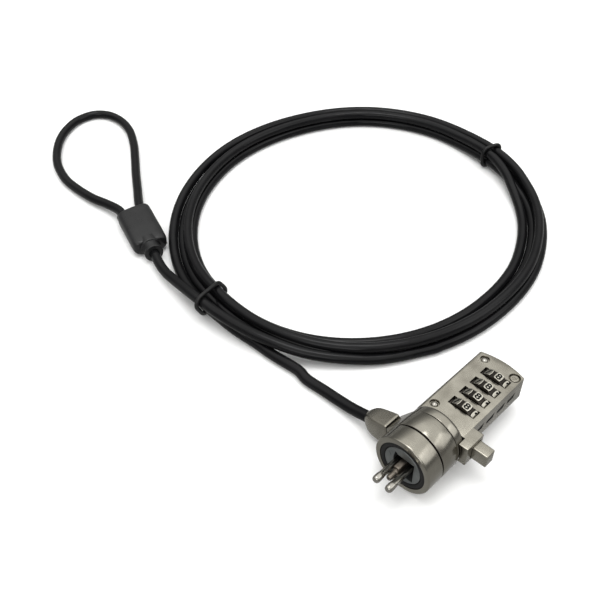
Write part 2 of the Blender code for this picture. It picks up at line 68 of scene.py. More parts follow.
DIAL_R, DIAL_WIDTH = 6.2, 3.2
READ_AT = math.radians(10)
DIAL_X, DIAL_Z = 1.43, -0.3
FIRST_DIAL, DIAL_PITCH, DIAL_COUNT = 27.9, 5.7, 4
DIGIT_ACROSS, DIGIT_UP = 2.85, 2.4
WINDOW = 3.6

CABLE_D = 4.0
COIL_CENTRE = (-96.3, 71.0)
COIL_LONG, COIL_SHORT = 82.8, 73.1
COIL_TURNED = math.radians(117)
TIE_1, TIE_2 = math.radians(-91), math.radians(78)
TIE_WIRE_R = 0.8
TURNS = 4
STEPS_A_TURN = 90
EVEN_COIL_START = 0.167  # share of a turn after which the strands follow one rule
# How far the bundle strays outwards, at shares of a turn counted from the front tie.
STRAY = (
    (0.0, -0.2), (0.07, -0.6), (0.15, -0.9), (0.23, -0.95), (0.31, 0.0), (0.39, 0.7), (0.425, 0.4),
    (0.485, -1.8), (0.55, -0.5), (0.60, -0.5), (0.68, -1.5), (0.78, -0.6), (0.88, -0.35), (1.0, -0.2),
)
STRAND_GAP = 4.08
LOCK_LEAD = ((-27.0, -11.05, 2.95), (-38.0, -11.2, 2.1), (-46.0, -11.7, 2.05))
FERRULE_END = Vector((-135.2, -8.0, 4.0))
FERRULE_ANGLE = math.radians(160.7)
FERRULE_LENGTH = 33.0
FERRULE_WIDTH, FERRULE_THICKNESS = 13.8, 7.4
LEG_OFFSET = 4.3
LOOP_LEAD = ((-129.0, -10.4, 3.9), (-122.6, -12.1, 4.1))
LOOP_ROUTE = (
    (-177.6, -1.1, 3.3), (-187.2, -2.6, 2.6), (-198.6, -3.0, 2.1), (-209.6, -2.3, 2.05),
    (-221.6, 1.4, 2.05), (-231.2, 6.8, 2.05), (-240.2, 14.0, 2.05), (-246.9, 22.2, 2.05),
    (-250.9, 31.5, 2.05), (-250.0, 40.5, 2.05), (-244.2, 45.5, 2.05), (-235.2, 46.6, 2.05),
    (-224.2, 44.0, 2.05), (-212.2, 37.8, 2.05), (-200.7, 30.2, 2.1), (-190.2, 23.0, 2.3),
    (-179.0, 15.7, 3.0),
)

collar_low, collar_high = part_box("front_collar")
NOSE = Vector((
    (collar_low.x + collar_high.x) / 2 / MM,
    collar_low.y / MM,
    (collar_low.z + collar_high.z) / 2 / MM,
))

# ------------------------------------------------------------------ camera


def place_camera():
    data = bpy.data.cameras.new("Camera")
    data.lens = 46.5
    data.sensor_width = 36
    data.clip_end = 20
    camera = bpy.data.objects.new("Camera", data)
    bpy.context.scene.collection.objects.link(camera)
    camera.location = Vector((77.0, -138.7, 200.7)) * MM
    camera.rotation_euler = (math.radians(47.5), 0, math.radians(44.8))
    bpy.context.scene.camera = camera


# ------------------------------------------------------------------ materials


class Nodes:
    """Short calls for building one material."""

    def __init__(self, name):
        self.material = bpy.data.materials.new(name)
        self.material.use_nodes = True
        self.tree = self.material.node_tree
        self.shader = self.tree.nodes["Principled BSDF"]
        self.coords = self.add("ShaderNodeTexCoord")

    def add(self, kind, **settings):
        node = self.tree.nodes.new(kind)
        for key, value in settings.items():
            setattr(node, key, value)
        return node

    def link(self, output, socket):
        self.tree.links.new(output, socket)

    def place(self, scale=(1, 1, 1), space="Object"):
        mapping = self.add("ShaderNodeMapping")
        mapping.inputs["Scale"].default_value = scale
        self.link(self.coords.outputs[space], mapping.inputs["Vector"])
        return mapping.outputs["Vector"]

    def noise(self, scale, detail=4, roughness=0.55, stretch=(1, 1, 1), space="Object"):
        node = self.add("ShaderNodeTexNoise")
        node.inputs["Scale"].default_value = scale
        node.inputs["Detail"].default_value = detail
        node.inputs["Roughness"].default_value = roughness
        self.link(self.place(stretch, space), node.inputs["Vector"])
        return node.outputs["Fac"]

    def spread(self, value, low, high, start=0.3, end=0.7):
        node = self.add("ShaderNodeMapRange")
        node.inputs["From Min"].default_value = start
        node.inputs["From Max"].default_value = end
        node.inputs["To Min"].default_value = low
        node.inputs["To Max"].default_value = high
        self.link(value, node.inputs["Value"])
        return node.outputs["Result"]

    def math(self, operation, first, second):
        node = self.add("ShaderNodeMath", operation=operation)
        for socket, value in zip(node.inputs, (first, second)):
            if isinstance(value, (int, float)):
                socket.default_value = value
            else:
                self.link(value, socket)
        return node.outputs["Value"]

    def blend(self, factor, first, second):
        node = self.add("ShaderNodeMix", data_type="RGBA")
        self.link(factor, node.inputs["Factor"])
        node.inputs["A"].default_value = (*first, 1)
        node.inputs["B"].default_value = (*second, 1)
        return node.outputs["Result"]

    def bump(self, heights, rounded=0):
        """Bumps laid one on another. Each height comes with its depth in metres."""
        normal = None
        if rounded:
            bevel = self.add("ShaderNodeBevel", samples=6)
            bevel.inputs["Radius"].default_value = rounded
            normal = bevel.outputs["Normal"]
        for value, depth in heights:
            node = self.add("ShaderNodeBump")
            node.inputs["Strength"].default_value = 1
            node.inputs["Distance"].default_value = depth
            self.link(value, node.inputs["Height"])
            if normal:
                self.link(normal, node.inputs["Normal"])
            normal = node.outputs["Normal"]
        self.link(normal, self.shader.inputs["Normal"])


def metal(name, color, worn, roughness, spread, grain=0.000004, stretch=(1, 1, 1), lines=0.0,
          rounded=0.00012):
    """Plated or bare metal: cloudy tone, uneven sheen and fine grain, with turned lines where wanted."""
    made = Nodes(name)
    made.shader.inputs["Metallic"].default_value = 1.0
    cloud = made.noise(140, 5, 0.6)
    fine = made.noise(2600, 3, 0.6, stretch)
    made.link(made.blend(made.spread(cloud, 0, 1), color, worn), made.shader.inputs["Base Color"])
    sheen = made.math("ADD", made.spread(cloud, roughness, roughness + spread),
                      made.spread(fine, -0.04, 0.05))
    made.link(sheen, made.shader.inputs["Roughness"])
    heights = [(fine, grain), (made.noise(420, 4, 0.5), grain * 3)]
    if lines:
        turned = made.add("ShaderNodeTexWave", bands_direction="Y", wave_profile="SIN")
        turned.inputs["Scale"].default_value = 900
        turned.inputs["Distortion"].default_value = 1.2
        turned.inputs["Detail"].default_value = 3
        made.link(made.place(), turned.inputs["Vector"])
        heights.append((turned.outputs["Fac"], lines))
    made.bump(heights, rounded)
    return made.material


def plain(name, color, tint, roughness, spread, grain, scale=1500, shine=0.5, rounded=0.0):
    """Rubber, moulded plastic or paint."""
    made = Nodes(name)
    cloud = made.noise(90, 5, 0.6)
    fine = made.noise(scale, 4, 0.6)
    made.link(made.blend(made.spread(cloud, 0, 1), color, tint), made.shader.inputs["Base Color"])
    sheen = made.math("ADD", made.spread(cloud, roughness, roughness + spread),
                      made.spread(fine, -0.05, 0.05))
    made.link(sheen, made.shader.inputs["Roughness"])
    made.shader.inputs["Specular IOR Level"].default_value = shine
    made.bump([(fine, grain)], rounded)
    return made.material


def vinyl():
    """Glossy black vinyl over twisted strand. The strand shows as faint ridges that wind round the cable."""
    made = Nodes("vinyl")
    made.shader.inputs["Specular IOR Level"].default_value = 0.17
    cloud = made.noise(45, 4, 0.6)
    made.link(made.blend(made.spread(cloud, 0, 1), (0.003, 0.003, 0.0035), (0.007, 0.007, 0.0075)),
              made.shader.inputs["Base Color"])
    fine = made.noise(900, 3, 0.6)
    sheen = made.math("ADD", made.spread(cloud, 0.13, 0.22), made.spread(fine, -0.02, 0.03))
    made.link(sheen, made.shader.inputs["Roughness"])
    split = made.add("ShaderNodeSeparateXYZ")
    made.link(made.coords.outputs["UV"], split.inputs["Vector"])
    winding = made.math("ADD", made.math("MULTIPLY", split.outputs["X"], 7),
                        made.math("MULTIPLY", split.outputs["Y"], 95))
    ridge = made.math("SINE", made.math("MULTIPLY", winding, 2 * math.pi), 0)
    shown = made.math("MULTIPLY", ridge, made.spread(made.noise(28, 2), 0, 1, 0.45, 0.65))
    made.bump([(shown, 0.000010), (fine, 0.000003), (made.noise(160, 3), 0.00004)])
    return made.material


def make_materials():
    looks = {
        "nickel": metal("nickel", (0.375, 0.356, 0.305), (0.235, 0.22, 0.185), 0.22, 0.09, grain=0.000002),
        "turned_nickel": metal("turned_nickel", (0.32, 0.305, 0.262), (0.25, 0.235, 0.20), 0.15, 0.08,
                               grain=0.0000015, stretch=(0.15, 1, 0.15), lines=0.0000008),
        "zinc": metal("zinc", (0.235, 0.245, 0.24), (0.15, 0.16, 0.16), 0.42, 0.14, grain=0.000007),
        "dark_zinc": metal("dark_zinc", (0.25, 0.225, 0.19), (0.14, 0.12, 0.10), 0.32, 0.14, grain=0.000004),
        "steel": metal("steel", (0.40, 0.385, 0.35), (0.30, 0.285, 0.255), 0.17, 0.11, grain=0.000002),
        "aluminium": metal("aluminium", (0.74, 0.74, 0.75), (0.62, 0.62, 0.64), 0.34, 0.12),
        "pad_metal": metal("pad_metal", (0.56, 0.54, 0.47), (0.44, 0.42, 0.36), 0.20, 0.10, grain=0.000002,
                           rounded=0.00006),
        "dial_dark": metal("dial_dark", (0.045, 0.04, 0.034), (0.022, 0.02, 0.018), 0.30, 0.12,
                           grain=0.000003, rounded=0.00006),
        "ink": plain("ink", (0.002, 0.002, 0.002), (0.004, 0.004, 0.004), 0.45, 0.10, 0.000003, shine=0.12),
        "face_rubber": plain("face_rubber", (0.004, 0.004, 0.004), (0.009, 0.009, 0.009), 0.48, 0.14,
                             0.000006, shine=0.25),
        "tie_rubber": plain("tie_rubber", (0.0035, 0.0035, 0.0035), (0.007, 0.007, 0.007), 0.32, 0.12,
                            0.000005, shine=0.3),
        "moulded": plain("moulded", (0.006, 0.006, 0.0065), (0.013, 0.013, 0.0135), 0.27, 0.12, 0.000007,
                         scale=1100, shine=0.4),
        # Painted shade: a near-black look for the faces of the side slots, standing for the dark inside of
        # the lock.
        "shadow": plain("shadow", (0.010, 0.010, 0.009), (0.016, 0.015, 0.014), 0.7, 0.1, 0.000004),
        "vinyl": vinyl(),
    }
    return looks


# ------------------------------------------------------------------ making shapes


def link(obj):
    bpy.context.scene.collection.objects.link(obj)
    return obj


def mesh_object(name, bm, look, angle=30):
    """A shaded object from a bmesh. Its edges sharper than the angle stay crisp."""
    bmesh.ops.recalc_face_normals(bm, faces=bm.faces)
    mesh = bpy.data.meshes.new(name)
    bm.to_mesh(mesh)
    bm.free()
    mesh.shade_smooth()
    mesh.set_sharp_from_angle(angle=math.radians(angle))
    obj = link(bpy.data.objects.new(name, mesh))
    if look:
        mesh.materials.append(LOOKS[look])
    return obj


def move(obj, place=(0, 0, 0), turn=None):
    """Puts the piece where it goes by changing its mesh, so that its object stays at the origin."""
    matrix = Matrix.Translation(Vector(place) * MM)
    if turn is not None:
        matrix = matrix @ turn
    obj.data.transform(matrix)
    return obj


def box(name, low, high, look=None):
    bm = bmesh.new()
    bmesh.ops.create_cube(bm, size=1)
    size = Vector([b - a for a, b in zip(low, high)]) * MM
    middle = Vector([(a + b) / 2 for a, b in zip(low, high)]) * MM
    bmesh.ops.scale(bm, vec=size, verts=bm.verts)
    bmesh.ops.translate(bm, vec=middle, verts=bm.verts)
    return mesh_object(name, bm, look)


def rounded_profile(corners):
    """Rounds each (radius, height, rounding) corner of a closed profile into a short arc."""
    points = []
    count = len(corners)
    for index, (r, z, rounding) in enumerate(corners):
        here = Vector((r, z))
        if rounding == 0:
            points.append(here)
            continue
        before = (Vector(corners[index - 1][:2]) - here).normalized()
        after = (Vector(corners[(index + 1) % count][:2]) - here).normalized()
        for step in range(6):
            t = step / 5
            start = here + before * rounding
            end = here + after * rounding
            points.append(start.lerp(here, t).lerp(here.lerp(end, t), t))
    return points


def turned(name, corners, look, steps=128, axis="Y", angle=30):
    """A turned piece from a closed (radius, height, rounding) profile. Corners on the axis close it."""
    profile = rounded_profile(corners)
    bm = bmesh.new()
    rings = []
    for point in profile:
        if point.x < 1e-6:
            rings.append([bm.verts.new((0, 0, point.y * MM))])
            continue
        ring = []
        for step in range(steps):
            around = 2 * math.pi * step / steps
            ring.append(bm.verts.new((point.x * MM * math.cos(around), point.x * MM * math.sin(around),
                                      point.y * MM)))
        rings.append(ring)
    for first, second in zip(rings, rings[1:] + rings[:1]):
        if len(first) == 1 and len(second) == 1:
            continue
        for step in range(steps):
            other = (step + 1) % steps
            if len(first) == 1:
                bm.faces.new((first[0], second[step], second[other]))
            elif len(second) == 1:
                bm.faces.new((first[step], second[0], first[other]))
            else:
                bm.faces.new((first[step], second[step], second[other], first[other]))
    if axis == "Y":
        bmesh.ops.transform(bm, matrix=Matrix.Rotation(-math.pi / 2, 4, "X"), verts=bm.verts)
    if axis == "X":
        bmesh.ops.transform(bm, matrix=Matrix.Rotation(math.pi / 2, 4, "Y"), verts=bm.verts)
    return mesh_object(name, bm, look, angle)


def rod(name, radius, start, end, axis="Z", look=None, steps=48):
    return turned(name, [(0, end, 0), (radius, end, 0), (radius, start, 0), (0, start, 0)], look, steps, axis)


def prism(name, points, low, high, look=None):
    """A flat outline in plan between two heights."""
    bm = bmesh.new()
    base = [bm.verts.new((x * MM, y * MM, low * MM)) for x, y in points]
    face = bm.faces.new(base)
    made = bmesh.ops.extrude_face_region(bm, geom=[face])
    moved = [item for item in made["geom"] if isinstance(item, bmesh.types.BMVert)]
    bmesh.ops.translate(bm, vec=(0, 0, (high - low) * MM), verts=moved)
    return mesh_object(name, bm, look)


def apply_modifiers(obj):
    graph = bpy.context.evaluated_depsgraph_get()
    mesh = bpy.data.meshes.new_from_object(obj.evaluated_get(graph))
    obj.modifiers.clear()
    old = obj.data
    obj.data = mesh
    bpy.data.meshes.remove(old)
    return obj


def bevel(obj, width, segments=3, angle=35):
    modifier = obj.modifiers.new("Bevel", "BEVEL")
    modifier.width = width * MM
    modifier.segments = segments
    modifier.limit_method = "ANGLE"
    modifier.angle_limit = math.radians(angle)
    modifier.use_clamp_overlap = True
    return apply_modifiers(obj)


def combine(obj, others, operation="DIFFERENCE"):
    """Cuts the other meshes from obj or joins them to it, and removes them."""
    for other in others:
        modifier = obj.modifiers.new("Boolean", "BOOLEAN")
        modifier.operation = operation
        modifier.solver = "EXACT"
        modifier.object = other
        apply_modifiers(obj)
        bpy.data.objects.remove(other, do_unlink=True)
    return obj


def crisp(obj, angle=30):
    obj.data.shade_smooth()
    obj.data.set_sharp_from_angle(angle=math.radians(angle))
    return obj


def smooth_route(points, spacing):
    """Points about one spacing apart on a centripetal-like curve through the route's points."""
    route = [Vector(p) for p in points]
    route = [2 * route[0] - route[1], *route, 2 * route[-1] - route[-2]]
    line = []
    for a, b, c, d in zip(route, route[1:], route[2:], route[3:]):
        steps = max(1, round((c - b).length / spacing))
        for step in range(steps):
            t = step / steps
            line.append(
                0.5 * (2 * b + (c - a) * t + (2 * a - 5 * b + 4 * c - d) * t * t
                       + (3 * b - a - 3 * c + d) * t ** 3)
            )
    line.append(route[-2])
    return line


def tube(name, line, radius, look, sides=20, closed=False, caps=True):
    """A tube along a line, with U running round it and V along it in metres."""
    count = len(line)
    directions = []
    for index in range(count):
        if closed:
            direction = line[(index + 1) % count] - line[index - 1]
        else:
            direction = line[min(index + 1, count - 1)] - line[max(index - 1, 0)]
        directions.append(direction.normalized())
    side = directions[0].orthogonal().normalized()
    bm = bmesh.new()
    layer = bm.loops.layers.uv.new("UVMap")
    rings = []
    lengths = [0.0]
    for index in range(count):
        side = (side - directions[index] * side.dot(directions[index])).normalized()
        other = directions[index].cross(side)
        ring = []
        for step in range(sides):
            around = 2 * math.pi * step / sides
            out = side * math.cos(around) + other * math.sin(around)
            ring.append(bm.verts.new((line[index] + out * radius) * MM))
        rings.append(ring)
        if index:
            lengths.append(lengths[-1] + (line[index] - line[index - 1]).length * MM)
    pairs = list(zip(range(count), range(1, count)))
    if closed:
        pairs.append((count - 1, 0))
        lengths.append(lengths[-1] + (line[0] - line[-1]).length * MM)
    for first, second in pairs:
        end = lengths[second] if second else lengths[-1]
        for step in range(sides):
            other = (step + 1) % sides
            face = bm.faces.new((rings[first][step], rings[first][other], rings[second][other],
                                 rings[second][step]))
            u0, u1 = step / sides, (step + 1) / sides
            places = (u0, lengths[first]), (u1, lengths[first]), (u1, end), (u0, end)
            for loop, uv in zip(face.loops, places):
                loop[layer].uv = uv
    if caps and not closed:
        bm.faces.new(list(reversed(rings[0])))
        bm.faces.new(rings[-1])
    return mesh_object(name, bm, look, 60)


def finish(obj, body, slot, *nodes):
    """Makes the piece ride on its body and stand for its CAD nodes, which it hides. The slot is not used."""
    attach(obj, body)
    if nodes:
        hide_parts(*nodes)
    return obj


# ------------------------------------------------------------------ cable


def coil_point(angle, offset, height):
    turned_by = angle - COIL_TURNED
    spin = math.atan2(math.sin(turned_by) * COIL_LONG, math.cos(turned_by) * COIL_SHORT)
    reach = math.hypot(COIL_LONG * math.cos(spin), COIL_SHORT * math.sin(spin)) + offset
    return Vector((COIL_CENTRE[0] + reach * math.cos(angle), COIL_CENTRE[1] + reach * math.sin(angle),
                   height))


def lift(angle):
    """How far the ties' wires raise the strands that lie on them."""
    raised = 0
    for tie in (TIE_1, TIE_2):
        away = (angle - tie + math.pi) % (2 * math.pi) - math.pi
        raised += 2 * TIE_WIRE_R * math.exp(-((away / 0.22) ** 2))
    return raised


def drift(angle):
    """How far the whole bundle strays from the ring's even shape."""
    part = (angle - TIE_1) / (2 * math.pi) % 1
    for (start, before), (end, after) in zip(STRAY, STRAY[1:]):
        if start <= part <= end:
            return before + (after - before) * ease(part, start, end)
    return 0


def ease(value, start, end):
    """A smooth step from 0 at start to 1 at end."""
    way = min(1, max(0, (value - start) / (end - start)))
    return way * way * (3 - 2 * way)


def strand(turns):
    """Sideways place and height of the strand after that many turns.

    Three strands lie side by side at the front tie with one on top, and the back tie draws them
    up two on two.
    Each turn ends where the next begins: outside, middle, inside, on top and outside again.
    """
    turn = min(int(turns), TURNS - 1)
    part = turns - turn
    drawn, spread = ease(part, 0.38, 0.475), ease(part, 0.60, 0.98)
    gap = STRAND_GAP
    base = CABLE_D / 2 + 0.03
    outer = gap * (1 - (drawn + spread) / 2)
    middle = outer - gap
    if turn == 0:
        return outer, base
    if turn == 1:
        return middle, base
    if turn == 2 and spread == 0:
        around = math.radians(180 - 90 * drawn)
        return middle + gap * math.cos(around), base + STRAND_GAP * math.sin(around)
    if turn == 3 and spread > 0:
        around = math.radians(90 * (1 - spread))
        return outer + gap * math.cos(around), base + STRAND_GAP * math.sin(around)
    sideways = -gap / 2 + (gap * ease(part, 0, 0.13) if turn == 3 else 0)
    nearest = min(abs(sideways - outer), abs(sideways - middle))
    return sideways, base + math.sqrt(max(0, STRAND_GAP ** 2 - nearest ** 2))


def coil_route():
    """From the loop's lead round the coil and out to the lock's lead.

    The strands that enter and leave go from a share of a turn to their offset and height.
    """
    entering = {-0.034: (8.1, 4.3), 0.0: (5.9, 5.9), 0.028: (4.8, 6.15), 0.056: (4.7, 6.15), 0.09: (4.7, 4.6),
                0.13: (3.7, 2.5)}
    leaving = {0.03: (3.7, 2.03), 0.05: (4.6, 2.03), 0.066: (7.1, 2.03), 0.083: (10.6, 2.03)}
    points = []
    for part, (offset, height) in entering.items():
        angle = TIE_1 + 2 * math.pi * part
        points.append(coil_point(angle, offset, height + lift(angle)))
    raw = []
    for step in range(round(EVEN_COIL_START * STEPS_A_TURN), TURNS * STEPS_A_TURN + 1):
        turns = step / STEPS_A_TURN
        raw.append((turns, *strand(turns)))
    for index, (turns, offset, height) in enumerate(raw):
        near = raw[max(0, index - 2):index + 3]
        offset = sum(item[1] for item in near) / len(near)
        height = sum(item[2] for item in near) / len(near)
        angle = TIE_1 + 2 * math.pi * turns
        points.append(coil_point(angle, offset + drift(angle), height + lift(angle)))
    for part, (offset, height) in leaving.items():
        angle = TIE_1 + 2 * math.pi * part
        points.append(coil_point(angle, offset, height + lift(angle) * 0.8))
    return points


def ferrule_point(x, y, z=0):
    return FERRULE_END + Matrix.Rotation(FERRULE_ANGLE, 3, "Z") @ Vector((x, y, z))


def cable_line():
    along = Vector((-math.cos(DROOP), 0, -math.sin(DROOP)))
    middle = NOSE + Vector((0, COLLAR_MID, 0))
    route = [middle + along * 18.7, middle + along * 22.5, *LOCK_LEAD]
    route += list(reversed(coil_route()))
    route += list(reversed(LOOP_LEAD))
    route += [ferrule_point(0, 0), ferrule_point(9, 0), ferrule_point(18, 2.4), ferrule_point(25, LEG_OFFSET),
              ferrule_point(FERRULE_LENGTH + 1, LEG_OFFSET)]
    route += LOOP_ROUTE
    route += [ferrule_point(FERRULE_LENGTH + 1, -LEG_OFFSET), ferrule_point(26, -LEG_OFFSET),
              ferrule_point(15, -3.6)]
    return smooth_route(route, 1.5)


def strands_at(angle, line):
    """Where the cable crosses the upright plane at that angle of the coil: its offsets and heights."""
    found = []
    out = Vector((math.cos(angle), math.sin(angle), 0))
    across = Vector((-out.y, out.x, 0))
    centre = Vector((*COIL_CENTRE, 0))
    middle = coil_point(angle, 0, 0)
    for first, second in zip(line, line[1:]):
        before, after = (first - centre).dot(across), (second - centre).dot(across)
        if before * after > 0 or (first - centre).dot(out) < 0 or before == after:
            continue
        point = first.lerp(second, before / (before - after))
        offset = (point - middle).dot(out)
        if abs(offset) < 12:
            found.append((offset, point.z))
    return found


def hull(points):
    """The corners of the smallest outline round the points, counter-clockwise."""
    corners = []
    for ordered in (sorted(points), sorted(points, reverse=True)):
        run = []
        for point in ordered:
            while len(run) > 1:
                (ax, ay), (bx, by) = run[-2], run[-1]
                if (bx - ax) * (point[1] - ay) - (by - ay) * (point[0] - ax) > 0:
                    break
                run.pop()
            run.append(point)
        corners += run[:-1]
    return corners


def tie(name, angle, strands, skew):
    """A rubber ring drawn tight round the strands, and not quite square to them."""
    reach = CABLE_D / 2 + TIE_WIRE_R + 0.06
    rim = []
    for offset, height in strands:
        for step in range(36):
            around = math.radians(10 * step)
            up = max(TIE_WIRE_R + 0.03, height + reach * math.sin(around))
            rim.append((offset + reach * math.cos(around), up))
    outline = hull(rim)
    ring = [coil_point(angle + skew * offset, offset, up) for offset, up in outline]
    even = []
    for first, second in zip(ring, ring[1:] + ring[:1]):
        steps = max(1, round((second - first).length / 0.6))
        even += [first.lerp(second, step / steps) for step in range(steps)]
    for _ in range(3):
        following = even[1:] + even[:1]
        even = [(even[index - 1] + even[index] * 2 + following[index]) / 4 for index in range(len(even))]
    for point in even:
        point.z = max(point.z, TIE_WIRE_R + 0.02)
    return tube(name, even, TIE_WIRE_R, "tie_rubber", 18, closed=True)


def make_cable():
    line = cable_line()
    cable = tube("cable", line, CABLE_D / 2, "vinyl")
    finish(cable, "cable", "cable_vinyl", "cable_lock_lead", "cable_coil", "cable_loop_lead", "cable_loop")
    ring = tie("coil_tie_front", TIE_1, strands_at(TIE_1, line), 0.0024)
    first = finish(ring, "cable", "face_rubber", "cable_tie_1")
    ring = tie("coil_tie_back", TIE_2, strands_at(TIE_2, line), -0.001)
    second = finish(ring, "cable", "face_rubber", "cable_tie_2")
    ferrule = make_ferrule()


def make_ferrule():
    """Black moulded sleeve: flat rounded body, a stepped round neck, and a lip round each leg of the loop."""
    half, thick = FERRULE_WIDTH / 2 + 0.35, FERRULE_THICKNESS / 2
    stations = [(5.2, 0.80), (5.5, 0.88), (6.2, 0.95), (7.4, 0.985), (10, 1.0), (28.9, 1.02), (30.3, 1.005),
                (31.0, 0.965), (31.3, 0.91)]
    bm = bmesh.new()
    rings = []
    for x, share in stations:
        ring = []
        for step in range(64):
            around = 2 * math.pi * step / 64
            c, s = math.cos(around), math.sin(around)
            y = half * share * math.copysign(abs(c) ** 0.55, c) - 0.4
            z = thick * share * math.copysign(abs(s) ** 0.62, s)
            slant = 0.17 * (y + 7) * max(0, (x - 14) / 17)
            ring.append(bm.verts.new(((x - slant) * MM, y * MM, z * MM)))
        rings.append(ring)
    for first, second in zip(rings, rings[1:]):
        for step in range(64):
            other = (step + 1) % 64
            bm.faces.new((first[step], first[other], second[other], second[step]))
    bm.faces.new(list(reversed(rings[0])))
    bm.faces.new(rings[-1])
    body = mesh_object("loop_sleeve", bm, "moulded", 40)
    neck = turned("sleeve_neck", [(0, 8, 0), (4.25, 8, 0), (4.25, 4.4, 0.45), (3.55, 4.2, 0.2),
                                  (3.45, 1.4, 0), (3.85, 1.2, 0.25), (3.85, 0.1, 0.4), (2.1, 0.0, 0.15),
                                  (2.05, 1.5, 0), (0, 1.5, 0)], "moulded", 64, "X")
    lips = []
    for side in (1, -1):
        lip = turned("sleeve_lip", [(2.05, 30, 0), (2.6, 30, 0), (2.6, 31.8, 0.25), (2.05, 31.8, 0.15)],
                     "moulded", 48, "X")
        lips.append(move(lip, (-0.17 * (side * LEG_OFFSET + 7), side * LEG_OFFSET, 0)))
    combine(body, [neck, *lips], "UNION")
    crisp(body, 38)
    move(body, FERRULE_END, Matrix.Rotation(FERRULE_ANGLE, 4, "Z"))
    return finish(body, "cable", "moulded_black", "loop_ferrule", "crimp_sleeve")


# ------------------------------------------------------------------ barrel


def make_barrel():
    bore = CORE_R + 0.15
    ring = turned("nose_ring", [(bore, FRONT_LENGTH, 0.1), (BARREL_R, FRONT_LENGTH, 0.3), (BARREL_R, 0, 0.62),
                                (bore, 0, 0.12)], "turned_nickel", 160)
    finish(move(ring, NOSE), "lock", "satin_nickel", "front_collar")
    seal = turned("nose_seal", [(6.75, 1.5, 0), (8.3, 1.5, 0), (8.3, 0.25, 0.2), (7.5, 0.05, 0.3),
                                (6.75, 0.3, 0.2)],
                  "face_rubber", 128)
    finish(move(seal, NOSE), "lock", "face_rubber", "face_seal")
    neck_start = FRONT_LENGTH + 2 * GROOVE + COLLAR_LENGTH
    core = turned("barrel_tube", [(1.35, NECK_END, 0.1), (NECK_R, NECK_END, 1.1), (NECK_R, neck_start, 0.2),
                                  (CORE_R, neck_start, 0), (CORE_R, 1.8, 0), (6.75, 1.8, 0), (6.75, 13.7, 0),
                                  (1.35, 13.7, 0)], "turned_nickel", 144)
    finish(move(core, NOSE), "lock", "satin_nickel", "barrel_core")

    plug = turned("nose_insert", [(0, 13.4, 0), (PLUG_R, 13.4, 0), (PLUG_R, 0.2, 0.35), (0, 0.2, 0)],
                  "zinc", 128)
    pocket = prism("pocket", [(-3.35, -4.3), (3.35, -4.3), (3.35, 3.7), (-2.3, 3.7), (-3.35, 2.6)], -15, 1)
    pocket.data.transform(Matrix.Rotation(math.pi / 2, 4, "X"))
    lead = prism("pocket_lead", [(3.3, -1), (4.35, -1), (4.15, 0.45), (3.3, 1.5)], -4.3, 3.7)
    mark = move(box("mark", (-0.09, -0.2, -0.9), (0.09, 0.32, 0.9)), (-4.7, 0, 1.9),
                Matrix.Rotation(math.radians(-28), 4, "Y"))
    corner = box("corner_step", (-3.1, -1, 2.9), (-2.2, 0.9, 4.2))
    combine(plug, [pocket, lead, mark, corner])
    crisp(plug)
    finish(move(plug, NOSE), "lock", "cast_zinc", "nose_plug")


def make_prongs():
    for side, name in ((-1, "left"), (1, "right")):
        arm = box("arm_" + name, (-0.85, -18.5, -1.0), (0.85, 1.4, 1.0), "steel")
        bevel(arm, 0.42, 4)
        tip = turned("arm_tip", [(0, 2.9, 0), (1.0, 2.7, 0.3), (1.25, 1.2, 0.6), (1.25, -0.35, 0.2),
                                 (1.05, -0.95, 0.3), (0.6, -1.22, 0.15), (0, -1.25, 0)], "steel", 40)
        combine(arm, [move(tip, (0, -18.5, 0))], "UNION")
        hole = rod("arm_hole", 0.65, -3, 3, "Z", steps=32)
        combine(arm, [hole])
        crisp(arm, 40)
        place = NOSE + Vector((side * 2.35, 10.2, 0))
        finish(move(arm, place), "prong_" + name, "polished_steel", "prong_" + name)

    wedge = box("wedge", (-1.0, -2.6, -1.9), (1.0, 11.4, 1.9), "dark_zinc")
    bevel(wedge, 0.25, 3)
    tip = turned("wedge_tip", [(0, 5, 0), (1.15, 5, 0), (1.15, 3.1, 0.2), (0.9, 2.9, 0.1), (0.9, 0.0, 0.45),
                               (0.32, 0.0, 0.05), (0.25, 0.5, 0), (0, 0.55, 0)], "dark_zinc", 40)
    stem = rod("wedge_rod", 0.9, 10.6, 21.0, "Y", steps=32)
    cam = prism("wedge_cam", [(-3.0, 20.7), (0.2, 20.7), (0.2, 18.4), (3.1, 18.4), (5.1, 20.4), (5.1, 22.0),
                              (-3.0, 22.0)], -1.2, 1.2)
    combine(wedge, [move(tip, (0, -6.1, 0)), stem, cam], "UNION")
    crisp(wedge, 40)
    finish(move(wedge, NOSE), "slide", "cast_zinc", "release_slide")


def make_collar():
    """The swivelling ring with its flat side boss, and the cable holder beside it."""
    turn = Matrix.Rotation(math.pi - DROOP, 4, "Y")
    place = NOSE + Vector((0, COLLAR_MID, 0))
    half = COLLAR_LENGTH / 2
    reach, flat = 11.5, 3.5
    far = math.hypot(reach, flat)
    touch = math.atan2(flat, reach) + math.acos(BARREL_R / far)
    outline = [(reach, -flat), (reach, flat)]
    for step in range(129):
        around = touch + (2 * math.pi - 2 * touch) * step / 128
        outline.append((BARREL_R * math.cos(around), BARREL_R * math.sin(around)))
    ring = prism("swivel_ring", outline, -half, half, "turned_nickel")
    bevel(ring, 0.28, 3, 50)
    ring.data.transform(Matrix.Rotation(math.pi / 2, 4, "X"))
    bore = rod("ring_bore", CORE_R + 0.2, -4, 4, "Y", steps=160)
    hole = rod("stud_hole", 1.4, 9.6, 13, "X", steps=32)
    combine(ring, [bore, hole])
    crisp(ring, 24)
    finish(move(ring, place, turn), "cable", "satin_nickel", "swivel_collar")

    holder = make_holder()
    finish(move(holder, place, turn), "holder", "satin_nickel", "cable_holder")


